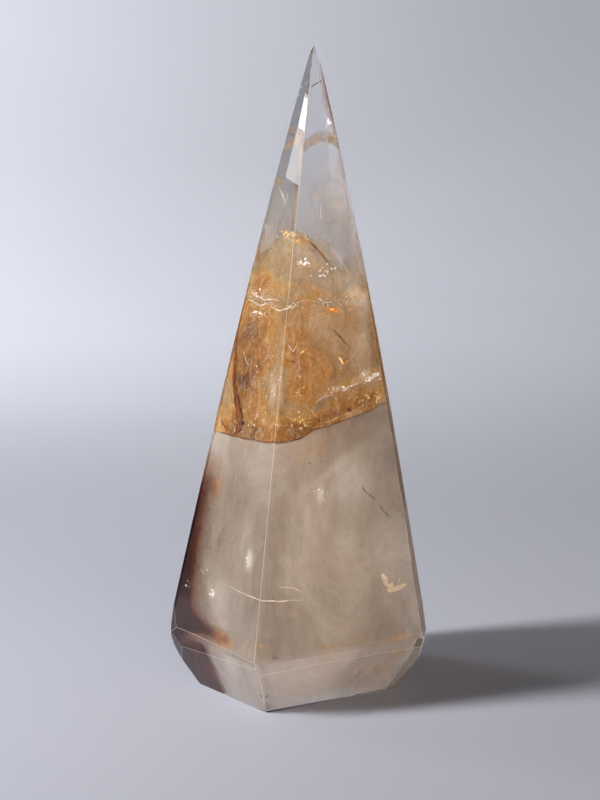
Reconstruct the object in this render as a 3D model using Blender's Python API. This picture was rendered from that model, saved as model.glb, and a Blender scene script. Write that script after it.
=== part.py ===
"""Fire quartz tower: one piece of clear quartz, ground to a tall four-sided point and polished.

Metres, +Z up. The stone stands on its flat base, and the origin is on the base, under the middle
of its bounding box. Its four long sides bow outwards a little, as sides ground by hand do. Each
side ends in a shoulder, and below it a narrower facet, the belt, leans back in to the base.
"""

import math

import bmesh
import bpy
from mathutils import Matrix, Vector

NAME = "quartz_tower"

# Driving dimensions, in metres. A bearing is in degrees, anticlockwise from +X seen from above.
SIDES_MEET = 0.150  # height at which the four sides would meet, if the tip had no cap
LEAN = (0.0035, 0.0)  # how far the top has wandered from above the middle of the section
LEAN_BOW = 0.0011  # the axis bows by this much on its way up
BOW = 0.125  # how far the sides bow outwards, as a share of the section
TIP_BOW = 0.120  # and how much of that belongs to the upper half

# The four long ridges: bearing and distance from the axis, where the sides reach the table.
RIDGES = {
    "left": (185.9, 0.0340),
    "front": (250.6, 0.0337),
    "right": (344.3, 0.0333),
    "back": (75.0, 0.0335),
}

LEVELS = 16  # bands up each side
CAP_FOOT = 0.1462  # height where the blunter cap of the tip starts
CAP_HEIGHT = 0.0020

# Flats ground across the stone: bearing, lean of the outward face above the level (negative where
# it faces the table), and the distance from the axis at which it crosses the given height.
BELTS = {
    "belt_left": (219.5, -26.7, 0.01960, 0.0),
    "belt_right": (298.1, -26.4, 0.01600, 0.0),
    "belt_back_right": (29.6, -26.0, 0.01640, 0.0),
    "belt_back_left": (128.0, -26.0, 0.01250, 0.0),
}
CORNER_FLATS = {
    "strip_left": (218.1, -10.0, 0.02575, 0.0140),
    "corner_left_upper": (207.0, 5.5, 0.02757, 0.0194),
    "corner_left_lower": (210.0, -20.9, 0.02727, 0.0121),
    "corner_right": (344.0, -14.0, 0.03040, 0.0139),
    "corner_back": (76.0, -12.0, 0.03100, 0.0110),
}

EDGE_ROUNDING = 0.00025  # the polish takes this much off each edge
SHARP_ANGLE = 5.0  # degrees: flatter meetings are part of one bowed side


def clear_scene():
    for item in list(bpy.data.objects):
        bpy.data.objects.remove(item, do_unlink=True)


def new_collection(name):
    collection = bpy.data.collections.new(name)
    bpy.context.scene.collection.children.link(collection)
    return collection


def quartz_material():
    """Clear quartz with a breath of smoke and iron in it."""
    material = bpy.data.materials.new("clear_quartz")
    material.use_nodes = True
    shader = material.node_tree.nodes["Principled BSDF"]
    shader.inputs["Base Color"].default_value = (0.80, 0.70, 0.60, 1.0)
    shader.inputs["Metallic"].default_value = 0.0
    shader.inputs["Roughness"].default_value = 0.03
    shader.inputs["IOR"].default_value = 1.544
    shader.inputs["Transmission Weight"].default_value = 1.0
    return material


def spread(height):
    """The section's size at this height, as a share of its size at the table."""
    up = height / SIDES_MEET
    return (1 - up) * (1 + BOW * up + TIP_BOW * up * up)


def axis_point(height):
    """Where the stone's axis passes at this height."""
    up = height / SIDES_MEET
    bow = LEAN_BOW * up * (1 - up)
    return Vector((LEAN[0] * up + bow, LEAN[1] * up, height))


def ridge_point(ridge, height):
    """Where a ridge passes at this height."""
    bearing, distance = RIDGES[ridge]
    turn = math.radians(bearing)
    arm = Vector((math.cos(turn), math.sin(turn), 0)) * distance * spread(height)
    return axis_point(height) + arm


def grow_sides(stone):
    """The section, drawn upwards in bands that close in along the bowed sides. Returns the top."""
    section = bmesh.ops.create_circle(stone, cap_ends=True, segments=len(RIDGES), radius=0.03)
    ring = dict(zip(RIDGES, section["verts"]))
    for ridge, vert in ring.items():
        vert.co = ridge_point(ridge, 0)
    foot = stone.faces[:][0]
    top = foot
    for level in range(1, LEVELS + 1):
        below = {vert: ridge for ridge, vert in ring.items()}
        covered = top
        grown = bmesh.ops.extrude_face_region(stone, geom=[covered])["geom"]
        top = next(item for item in grown if isinstance(item, bmesh.types.BMFace))
        if covered is not foot and covered.is_valid:
            bmesh.ops.delete(stone, geom=[covered], context="FACES_ONLY")
        for vert in top.verts:
            riser = next(edge for edge in vert.link_edges if edge not in top.edges)
            ridge = below[riser.other_vert(vert)]
            ring[ridge] = vert
            vert.co = ridge_point(ridge, CAP_FOOT * level / LEVELS)
    return top


def raise_cap(stone, top):
    """The blunter cap of the tip: the last band's face, drawn to a point."""
    point = bmesh.ops.poke(stone, faces=[top])["verts"][0]
    point.co = axis_point(CAP_FOOT) + Vector((0, 0, CAP_HEIGHT))


def grind_flat(stone, bearing, lean, distance, height):
    """Grinds away all that lies outside a flat, and leaves the flat polished."""
    turn = math.radians(bearing)
    tilt = math.radians(lean)
    across = Vector((math.cos(turn), math.sin(turn), 0))
    facing = across * math.cos(tilt) + Vector((0, 0, math.sin(tilt)))
    point = across * distance + Vector((0, 0, height))
    everything = stone.verts[:] + stone.edges[:] + stone.faces[:]
    cut = bmesh.ops.bisect_plane(
        stone,
        geom=everything,
        dist=1e-7,
        plane_co=point,
        plane_no=facing,
        clear_outer=True,
    )
    rim = [item for item in cut["geom_cut"] if isinstance(item, bmesh.types.BMEdge)]
    if rim:
        bmesh.ops.contextual_create(stone, geom=rim)


def round_edges(stone):
    """Takes a hair off every edge between two flats, but not off the bands of one bowed side."""
    limit = math.radians(SHARP_ANGLE)
    cap_foot = CAP_FOOT - EDGE_ROUNDING
    edges = [
        edge
        for edge in stone.edges
        if edge.calc_face_angle(0) > limit and max(vert.co.z for vert in edge.verts) < cap_foot
    ]
    bmesh.ops.bevel(
        stone,
        geom=edges,
        offset=EDGE_ROUNDING,
        segments=1,
        profile=0.5,
        affect="EDGES",
        clamp_overlap=True,
    )


def centre_on_origin(stone):
    """Slides the stone until the origin is under the middle of its bounding box."""
    across = [vert.co.x for vert in stone.verts]
    along = [vert.co.y for vert in stone.verts]
    middle = Vector((min(across) + max(across), min(along) + max(along), 0)) / 2
    bmesh.ops.transform(stone, matrix=Matrix.Translation(-middle), verts=stone.verts)


def build_tower():
    stone = bmesh.new()
    raise_cap(stone, grow_sides(stone))
    for flat in list(BELTS.values()) + list(CORNER_FLATS.values()):
        grind_flat(stone, *flat)
    bmesh.ops.recalc_face_normals(stone, faces=stone.faces)
    round_edges(stone)
    centre_on_origin(stone)
    mesh = bpy.data.meshes.new(NAME)
    stone.to_mesh(mesh)
    stone.free()
    tower = bpy.data.objects.new(NAME, mesh)
    mesh.materials.append(quartz_material())
    return tower


def main():
    clear_scene()
    collection = new_collection("fire_quartz_tower")
    collection.objects.link(build_tower())


main()
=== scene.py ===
"""Fire quartz tower: the looks of one polished, iron-stained quartz point.

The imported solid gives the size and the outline. Here the clear stone is ground again with finer
bands, and the fractures, veils, stains and flakes inside it are laid in, each as a piece of its own
that rides with the stone. Metres, +Z up, the base on the floor and the origin under the middle. The
tables of what lies inside the stone give their heights and sizes in millimetres.
"""

import logging
import math
import random
from dataclasses import dataclass, field
from enum import Enum

import bmesh
import bpy
import numpy as np
from mathutils import Matrix, Vector, noise


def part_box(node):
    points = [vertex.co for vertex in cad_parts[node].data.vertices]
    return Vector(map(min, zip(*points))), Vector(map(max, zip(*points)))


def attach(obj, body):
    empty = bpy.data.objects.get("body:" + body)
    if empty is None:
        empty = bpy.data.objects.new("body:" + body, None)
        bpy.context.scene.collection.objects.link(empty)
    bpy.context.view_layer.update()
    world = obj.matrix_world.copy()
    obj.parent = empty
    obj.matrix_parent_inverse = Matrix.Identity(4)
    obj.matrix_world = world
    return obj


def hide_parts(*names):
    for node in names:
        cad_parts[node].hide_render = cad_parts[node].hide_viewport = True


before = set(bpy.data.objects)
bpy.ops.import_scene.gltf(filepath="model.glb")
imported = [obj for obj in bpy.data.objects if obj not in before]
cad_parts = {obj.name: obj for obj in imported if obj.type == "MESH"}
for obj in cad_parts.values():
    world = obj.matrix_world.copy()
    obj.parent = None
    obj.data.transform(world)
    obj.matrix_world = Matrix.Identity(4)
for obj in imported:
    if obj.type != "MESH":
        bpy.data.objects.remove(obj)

log = logging.getLogger("fire_quartz_tower")

BODY = "root"
SOLID = "quartz_tower"
NOISE_SEED = 51  # so that the veins wander the same way on every run
MM = 0.001  # a millimetre, in metres

Colour = tuple[float, float, float]
Place = tuple[float, float, float]
Rim = tuple[tuple[float, float], ...]
Socket = bpy.types.NodeSocket


class Stain(Enum):
    """What a sheet's mesh carries at each of its points."""

    IRON = "iron"
    MILK = "milk"
    DARK = "dark"


class Sum(Enum):
    """The sums that patterns are worked out with."""

    ADD = "ADD"
    LESS = "SUBTRACT"
    TIMES = "MULTIPLY"
    OVER = "DIVIDE"
    MOST = "MAXIMUM"
    SIZE = "ABSOLUTE"


@dataclass(frozen=True)
class TowerForm:
    """The tower's outer shape: a four-sided section that closes in along bowed sides.

    A place on or in the stone is told by how far round it is (0 at the left ridge, 1 at the front
    one, 2 at the right, 3 at the back), its height, and its share of the way out from the axis.
    """

    sides_meet: float = 0.150
    lean: tuple[float, float] = (0.0035, 0.0)
    lean_bow: float = 0.0011
    bow: float = 0.125
    tip_bow: float = 0.120
    bearings: tuple[float, ...] = (185.9, 250.6, 344.3, 75.0)
    distances: tuple[float, ...] = (0.0340, 0.0337, 0.0333, 0.0335)
    pillow: float = 0.004
    cap_foot: float = 0.1462
    cap_height: float = 0.0020
    middle: tuple[float, float] = (-0.000301, 0.000377)
    foot_share: float = 0.66
    shoulder: float = 0.0143

    def spread(self, height: np.ndarray) -> np.ndarray:
        """The section's size at a height, as a share of its size at the table."""
        up = height / self.sides_meet
        return (1 - up) * (1 + self.bow * up + self.tip_bow * up * up)

    def axis(self, height: np.ndarray) -> np.ndarray:
        """Where the stone's axis passes.

        Args:
            height: heights above the table.

        Returns:
            One point for each height, as rows of x, y and z.
        """
        up = height / self.sides_meet
        across = self.lean[0] * up + self.lean_bow * up * (1 - up)
        along = self.lean[1] * up
        return np.stack([across - self.middle[0], along - self.middle[1] + 0 * up, height], -1)

    def ridge(self, which: np.ndarray, height: np.ndarray) -> np.ndarray:
        """Where the ridges pass.

        Args:
            which: the number of the ridge for each point.
            height: the height of each point.

        Returns:
            One point for each, as rows of x, y and z.
        """
        turn = np.radians(np.array(self.bearings))[which]
        reach = np.array(self.distances)[which] * self.spread(height)
        arm = np.stack([np.cos(turn) * reach, np.sin(turn) * reach, 0 * reach], -1)
        return self.axis(height) + arm

    def place(self, around: np.ndarray, height: np.ndarray, share: np.ndarray) -> np.ndarray:
        """Places on or inside the stone.

        Args:
            around: how far round each is, from 0 to 4.
            height: the height of each.
            share: how far out from the axis each is, 1 on the surface.

        Returns:
            One point for each, as rows of x, y and z.
        """
        around, height, share = np.broadcast_arrays(
            np.asarray(around, float), np.asarray(height, float), np.asarray(share, float)
        )
        side = np.floor(around).astype(int) % 4
        across = (around - np.floor(around))[..., None]
        start = self.ridge(side, height)
        chord = self.ridge((side + 1) % 4, height) - start
        outward = np.stack([chord[..., 1], -chord[..., 0], 0 * chord[..., 2]], -1)
        bulge = outward * self.pillow * 4 * across * (1 - across)
        centre = self.axis(height)
        return centre + (start + chord * across + bulge - centre) * share[..., None]

    def inside(self, around: np.ndarray, height: np.ndarray, share: np.ndarray) -> np.ndarray:
        """As place, and drawn in below the shoulders, so that it stays within the belts."""
        foot = np.minimum(1, np.asarray(height, float) / self.shoulder)
        return self.place(around, height, share * (self.foot_share + (1 - self.foot_share) * foot))

    def side_width(self, around: float, height: float) -> float:
        """How wide a side is, from ridge to ridge.

        Args:
            around: how far round the stone.
            height: the height, in metres.

        Returns:
            The width, in metres.
        """
        around, height = np.array(around), np.array(height)
        side = np.floor(around).astype(int) % 4
        chord = self.ridge((side + 1) % 4, height) - self.ridge(side, height)
        return float(np.linalg.norm(chord, axis=-1))


FORM = TowerForm()
MIDDLE = Vector((*FORM.middle, 0))


@dataclass(frozen=True)
class Flat:
    """A flat ground across the stone: its bearing, its lean, and where it passes."""

    bearing: float
    lean: float
    distance: float
    height: float

    def facing(self) -> Vector:
        """The way the flat faces.

        Returns:
            A direction of length 1.
        """
        turn, tilt = math.radians(self.bearing), math.radians(self.lean)
        level = math.cos(tilt)
        return Vector((math.cos(turn) * level, math.sin(turn) * level, math.sin(tilt)))

    def point(self) -> Vector:
        """A point that the flat passes through.

        Returns:
            The point, in the stone's own frame.
        """
        turn = math.radians(self.bearing)
        x, y = math.cos(turn) * self.distance, math.sin(turn) * self.distance
        return Vector((x, y, self.height)) - MIDDLE


class NodeBench:
    """A material and short ways to add and join its nodes."""

    def __init__(self, name: str) -> None:
        """Starts a material with an empty tree.

        Args:
            name: the material's name.
        """
        self.material = bpy.data.materials.new(name)
        self.material.use_nodes = True
        self.tree = self.material.node_tree
        self.tree.nodes.clear()
        self.output = self.tree.nodes.new("ShaderNodeOutputMaterial")

    def add(self, kind: str, **settings: object) -> bpy.types.Node:
        """Adds a node.

        Args:
            kind: the node's type, without the leading ShaderNode.
            settings: its own properties, by name.

        Returns:
            The node.
        """
        node = self.tree.nodes.new("ShaderNode" + kind)
        for key, value in settings.items():
            setattr(node, key, value)
        return node

    def put(self, socket: Socket, value: object) -> None:
        """Joins a socket to another one, or sets it to a plain value.

        Args:
            socket: the socket that is fed.
            value: another node's socket, a number or a colour.
        """
        if isinstance(value, Socket):
            self.tree.links.new(value, socket)
        elif isinstance(value, tuple) and len(value) == 3 and len(socket.default_value) == 4:
            socket.default_value = (*value, 1.0)
        else:
            socket.default_value = value

    def puts(self, node: bpy.types.Node, **values: object) -> bpy.types.Node:
        """Feeds a node's sockets by name.

        Args:
            node: the node.
            values: what each socket gets, with the spaces of its name as underscores.

        Returns:
            The same node.
        """
        for key, value in values.items():
            self.put(node.inputs[key.replace("_", " ")], value)
        return node

    def stain(self, which: Stain) -> Socket:
        """How much of a stain the mesh carries."""
        return self.add("Attribute", attribute_name=which.value).outputs["Fac"]

    def maths(self, kind: Sum, first: object, second: object = 0.0, clamp: bool = False) -> Socket:
        """One sum on two values.

        Args:
            kind: the sum.
            first: a socket or a number.
            second: a socket or a number.
            clamp: whether the answer stays between 0 and 1.

        Returns:
            The answer's socket.
        """
        node = self.add("Math", operation=kind.value, use_clamp=clamp)
        self.put(node.inputs[0], first)
        self.put(node.inputs[1], second)
        return node.outputs[0]

    def stretch(
        self, value: object, low: float, high: float, to_low: float = 0.0, to_high: float = 1.0
    ) -> Socket:
        """Brings a value from one range to another and clamps it.

        Args:
            value: a socket or a number.
            low: the value that becomes to_low.
            high: the value that becomes to_high.
            to_low: the answer at low.
            to_high: the answer at high.

        Returns:
            The answer's socket.
        """
        node = self.add("MapRange", clamp=True)
        for socket, setting in zip(node.inputs, (value, low, high, to_low, to_high)):
            self.put(socket, setting)
        return node.outputs[0]

    def position(self, scale: Place = (1, 1, 1), turn: Place = (0, 0, 0)) -> Socket:
        """The place in the stone, stretched and turned for a pattern that runs one way.

        Args:
            scale: the stretch along each axis.
            turn: the turn about each axis, in degrees.

        Returns:
            The coordinates' socket.
        """
        mapping = self.add("Mapping")
        self.put(mapping.inputs["Vector"], self.add("TexCoord").outputs["Object"])
        mapping.inputs["Scale"].default_value = scale
        mapping.inputs["Rotation"].default_value = [math.radians(angle) for angle in turn]
        return mapping.outputs["Vector"]

    def clouds(
        self, place: Socket, scale: float, detail: float, rough: float = 0.55, swirl: float = 0.0
    ) -> Socket:
        """A cloudy pattern.

        Args:
            place: the coordinates it is laid in.
            scale: how many clouds there are to a metre.
            detail: how many finer layers it has.
            rough: how strong the finer layers are.
            swirl: how far it is twisted.

        Returns:
            The pattern's value, about 0.5 on average.
        """
        node = self.add("TexNoise")
        self.puts(node, Vector=place, Scale=scale, Detail=detail, Roughness=rough, Distortion=swirl)
        return node.outputs["Fac"]

    def ramp(self, value: object, stops: tuple[tuple[float, Colour], ...]) -> Socket:
        """A colour that changes along a value.

        Args:
            value: a socket or a number.
            stops: places along the ramp, each with its colour.

        Returns:
            The colour's socket.
        """
        node = self.add("ValToRGB")
        self.put(node.inputs["Fac"], value)
        elements = node.color_ramp.elements
        while len(elements) > 1:
            elements.remove(elements[-1])
        elements[0].position, elements[0].color = stops[0][0], (*stops[0][1], 1.0)
        for place, colour in stops[1:]:
            elements.new(place).color = (*colour, 1.0)
        return node.outputs["Color"]

    def blend(self, share: object, first: object, second: object) -> Socket:
        """Mixes two colours.

        Args:
            share: how far the mix goes from the first to the second.
            first: a colour or its socket.
            second: a colour or its socket.

        Returns:
            The mixed colour's socket.
        """
        node = self.add("Mix", data_type="RGBA")
        self.put(node.inputs["Factor"], share)
        self.put(node.inputs[6], first)
        self.put(node.inputs[7], second)
        return node.outputs[2]

    def principled(self, **values: object) -> bpy.types.Node:
        """The main shader, with its sockets set by name."""
        return self.puts(self.add("BsdfPrincipled"), **values)

    def mix_shader(self, share: object, first: Socket, second: Socket) -> Socket:
        """Mixes two shaders.

        Args:
            share: how far the mix goes from the first to the second.
            first: a shader's socket.
            second: a shader's socket.

        Returns:
            The mixed shader's socket.
        """
        node = self.add("MixShader")
        for socket, value in zip(node.inputs, (share, first, second)):
            self.put(socket, value)
        return node.outputs[0]

    def finish(self, surface: Socket) -> bpy.types.Material:
        """Joins the surface to the output and gives the material."""
        self.put(self.output.inputs["Surface"], surface)
        return self.material


@dataclass(frozen=True)
class ClearQuartzFinish:
    """Polished clear quartz, with a breath of smoke in its depth."""

    ior: float = 1.544
    roughness: float = 0.0
    gloss: Colour = (0.45, 0.42, 0.42)
    smoke: Colour = (0.93, 0.85, 0.78)
    density: float = 3.0

    def material(self) -> bpy.types.Material:
        """Sets up the stone's own finish.

        Returns:
            The material.
        """
        bench = NodeBench("clear_quartz")
        shader = bench.principled(
            Base_Color=(1.0, 1.0, 1.0),
            Roughness=self.roughness,
            IOR=self.ior,
            Transmission_Weight=1.0,
            Specular_Tint=self.gloss,
        )
        depth = bench.puts(bench.add("VolumeAbsorption"), Color=self.smoke, Density=self.density)
        bench.put(bench.output.inputs["Volume"], depth.outputs[0])
        return bench.finish(shader.outputs[0])


@dataclass(frozen=True)
class EdgeFinish:
    """The rounded edges, where the polish is a little worn and catches the light; their pale colour
    is partly a painted highlight.
    """

    ior: float = 1.544
    # pale colour: partly worn frosting, partly a painted highlight along the edges
    colour: Colour = (0.80, 0.735, 0.68)
    worn: float = 0.42
    see_through: float = 0.90
    chips: float = 300.0

    def material(self) -> bpy.types.Material:
        """Sets up the edges' finish.

        Returns:
            The material.
        """
        bench = NodeBench("worn_edge_and_highlight")
        chips = bench.clouds(bench.position(), self.chips, 3.0, 0.6)
        shader = bench.principled(
            Base_Color=self.colour,
            Roughness=bench.stretch(chips, 0.35, 0.65, self.worn * 0.9, self.worn * 1.1),
            IOR=self.ior,
            Transmission_Weight=self.see_through,
        )
        return bench.finish(shader.outputs[0])


RUST_TONES = (
    (0.00, (0.88, 0.70, 0.44)),
    (0.18, (0.80, 0.56, 0.25)),
    (0.40, (0.68, 0.39, 0.115)),
    (0.62, (0.48, 0.22, 0.045)),
    (0.95, (0.13, 0.038, 0.010)),
)
SHADOW_TONES = (
    (0.10, (0.36, 0.20, 0.11)),
    (0.28, (0.26, 0.092, 0.038)),
    (0.50, (0.15, 0.036, 0.016)),
    (0.80, (0.040, 0.008, 0.004)),
)
MILK_STOPS = (0.34, 0.47, 0.58, 0.74)


@dataclass(frozen=True)
class StainFinish:
    """A fracture sheet inside the stone: rust and gold where iron got in, milk where it healed.

    The mesh says how much iron, milk and dark there is at each place, and the patterns here break
    that up. Light passes through the sheet as well as turning back, as through a film of stain.
    """

    name: str
    milk_tones: tuple[Colour, ...]
    milk_scale: float = 55.0
    passing: float = 0.5
    curls: float = 0.35
    mottling: float = 0.38
    flow: float = 0.9
    # grain: how strongly fine crinkles lighten and darken the colour, partly tone and partly
    # painted light and shade of a crinkled relief
    grain: float = 0.25
    rust_depth: float = 0.0
    deep_and_shade_tone: Colour = (0.44, 0.33, 0.25)

    def curl(self, bench: NodeBench, place: Socket, scale: float, width: float) -> Socket:
        """Fine curled lines, as where one healed crack runs into the next.

        Args:
            bench: the material's bench.
            place: the coordinates they are laid in.
            scale: how many curls there are to a metre.
            width: how wide the lines are, as a share of the pattern's range.

        Returns:
            1 along the lines and 0 away from them.
        """
        pattern = bench.clouds(place, scale, 3.0, 0.5, 2.2)
        away = bench.maths(Sum.SIZE, bench.maths(Sum.LESS, pattern, 0.5))
        line = bench.stretch(away, 0.0, width, 1.0, 0.0)
        shown = bench.stretch(bench.clouds(place, scale * 0.45, 2.0, 0.5, 0.6), 0.50, 0.60)
        return bench.maths(Sum.TIMES, line, shown)

    def material(self) -> bpy.types.Material:
        """Sets up the sheet's finish from the iron, milk and dark that its mesh carries.

        Returns:
            The material.
        """
        bench = NodeBench(self.name)
        maths, stretch = bench.maths, bench.stretch
        palest = self.milk_tones[-1]
        place = bench.position()
        drawn = bench.position(scale=(1.0, 1.0, 0.6), turn=(25, 12, 0))
        soft = bench.clouds(drawn, self.milk_scale, 6.0, 0.6, self.flow)
        crinkle_tone_and_shade = bench.clouds(drawn, 620.0, 9.0, 0.74, 1.4)
        iron, milk, dark = (bench.stain(which) for which in (Stain.IRON, Stain.MILK, Stain.DARK))

        big = bench.clouds(place, 80.0, 5.0, 0.6, 1.0)
        fine = bench.clouds(drawn, 360.0, 8.0, 0.68, 1.0)
        mottle = stretch(big, 0.30, 0.70, -self.mottling, self.mottling)
        speckle = stretch(fine, 0.30, 0.70, -0.8 * self.mottling, 0.8 * self.mottling)
        broken_iron = maths(Sum.ADD, iron, maths(Sum.ADD, mottle, speckle))
        some_iron = stretch(iron, 0.0, 0.12)
        pale_curls = self.curl(bench, drawn, 190.0, 0.022)
        small_curls = self.curl(bench, place, 420.0, 0.030)
        rust_curls = self.curl(bench, bench.position(turn=(70, 30, 0)), 150.0, 0.030)
        lines = maths(Sum.MOST, pale_curls, maths(Sum.TIMES, small_curls, 0.7))
        lines = maths(Sum.TIMES, lines, self.curls)

        tone = maths(Sum.ADD, maths(Sum.TIMES, iron, 0.62), self.rust_depth)
        tone = maths(Sum.ADD, maths(Sum.ADD, tone, mottle), speckle, clamp=True)
        tone = maths(Sum.ADD, tone, maths(Sum.TIMES, rust_curls, 0.25), clamp=True)
        rust = bench.ramp(tone, RUST_TONES)
        milky = bench.ramp(soft, tuple(zip(MILK_STOPS, self.milk_tones)))
        rich = maths(Sum.ADD, milk, maths(Sum.TIMES, speckle, 0.6))
        milky = bench.blend(stretch(rich, 0.75, 1.25, 0.0, 0.9), milky, palest)
        rusty = maths(Sum.TIMES, stretch(broken_iron, 0.12, 0.62), some_iron)
        colour = bench.blend(rusty, milky, rust)
        colour = bench.blend(lines, colour, palest)
        # Fine crinkles lighten and darken the colour: partly grain of tone, partly painted light
        # and shade of a crinkled relief.
        colour = bench.blend(stretch(crinkle_tone_and_shade, 0.50, 0.68, 0.0, 0.6 * self.grain), colour, palest)
        colour = bench.blend(stretch(crinkle_tone_and_shade, 0.50, 0.32, 0.0, self.grain), colour, self.deep_and_shade_tone)

        uneven = maths(Sum.TIMES, maths(Sum.TIMES, mottle, 0.5), stretch(dark, 0.0, 0.2))
        darkness = maths(Sum.ADD, dark, uneven)
        darkened = stretch(darkness, 0.02, 0.66)
        milk_cover = maths(Sum.TIMES, milk, stretch(soft, 0.30, 0.70, 0.55, 1.1))
        iron_cover = maths(Sum.TIMES, stretch(broken_iron, 0.0, 0.75), some_iron)
        line_cover = maths(Sum.TIMES, lines, stretch(milk, 0.0, 0.2))
        cover = maths(Sum.MOST, maths(Sum.MOST, milk_cover, iron_cover), line_cover)
        cover = maths(Sum.MOST, cover, darkened, clamp=True)
        dark_share = maths(Sum.OVER, darkened, maths(Sum.MOST, cover, 0.02), clamp=True)
        colour = bench.blend(dark_share, colour, bench.ramp(darkness, SHADOW_TONES))

        facing = bench.principled(
            Base_Color=colour, Roughness=0.5, IOR=1.5, Specular_IOR_Level=0.15
        )
        behind = bench.puts(bench.add("BsdfTranslucent"), Color=colour)
        solid = bench.mix_shader(self.passing, facing.outputs[0], behind.outputs[0])
        clear = bench.add("BsdfTransparent").outputs[0]
        return bench.finish(bench.mix_shader(cover, clear, solid))


@dataclass(frozen=True)
class GrainFinish:
    """A thread, speck or flake of one mineral inside the stone."""

    name: str
    light: Colour
    deep: Colour
    roughness: float = 0.35
    scale: float = 700.0
    # glint: how strongly the grain glows in its own colour, a painted glint in place of light
    # thrown back by it
    glint: float = 0.0

    def material(self) -> bpy.types.Material:
        """Sets up the grain's finish, mottled between its light and its deep colour; its glint is a
        painted glint, a glow of its own colour.

        Returns:
            The material.
        """
        bench = NodeBench(self.name)
        pattern = bench.clouds(bench.position(), self.scale, 4.0, 0.6, 0.5)
        colour = bench.blend(bench.stretch(pattern, 0.35, 0.65), self.deep, self.light)
        shader = bench.principled(
            Base_Color=colour,
            Roughness=bench.stretch(pattern, 0.3, 0.7, self.roughness * 1.3, self.roughness * 0.7),
            Specular_IOR_Level=0.2,
            # The glow paints the grain's glints; it is no lamp.
            Emission_Color=colour,
            Emission_Strength=self.glint,
        )
        return bench.finish(shader.outputs[0])


@dataclass(frozen=True)
class StageFinish:
    """Plain pale card for the floor and backdrop."""

    colour: Colour = (0.34, 0.338, 0.375)
    shade: float = 0.97

    def material(self) -> bpy.types.Material:
        """Sets up the card's finish, with the faintest unevenness.

        Returns:
            The material.
        """
        bench = NodeBench("stage_card")
        uneven = bench.stretch(bench.clouds(bench.position(), 6.0, 3.0), 0.3, 0.7)
        shaded = tuple(part * self.shade for part in self.colour)
        colour = bench.blend(uneven, self.colour, shaded)
        return bench.finish(bench.principled(Base_Color=colour, Roughness=0.85).outputs[0])


def mesh_of(work: bmesh.types.BMesh, name: str) -> bpy.types.Mesh:
    """Turns worked faces into a mesh, and clears the work away.

    Args:
        work: the faces.
        name: the mesh's name.

    Returns:
        The mesh.
    """
    mesh = bpy.data.meshes.new(name)
    work.to_mesh(mesh)
    work.free()
    return mesh


def new_piece(mesh: bpy.types.Mesh, material: bpy.types.Material) -> bpy.types.Object:
    """Makes an object of a mesh, dresses it, and lets it ride with the stone.

    Args:
        mesh: its mesh, in place and with the piece's name.
        material: its finish.

    Returns:
        The object.
    """
    mesh.materials.append(material)
    piece = bpy.data.objects.new(mesh.name, mesh)
    bpy.context.scene.collection.objects.link(piece)
    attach(piece, BODY)
    return piece


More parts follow.
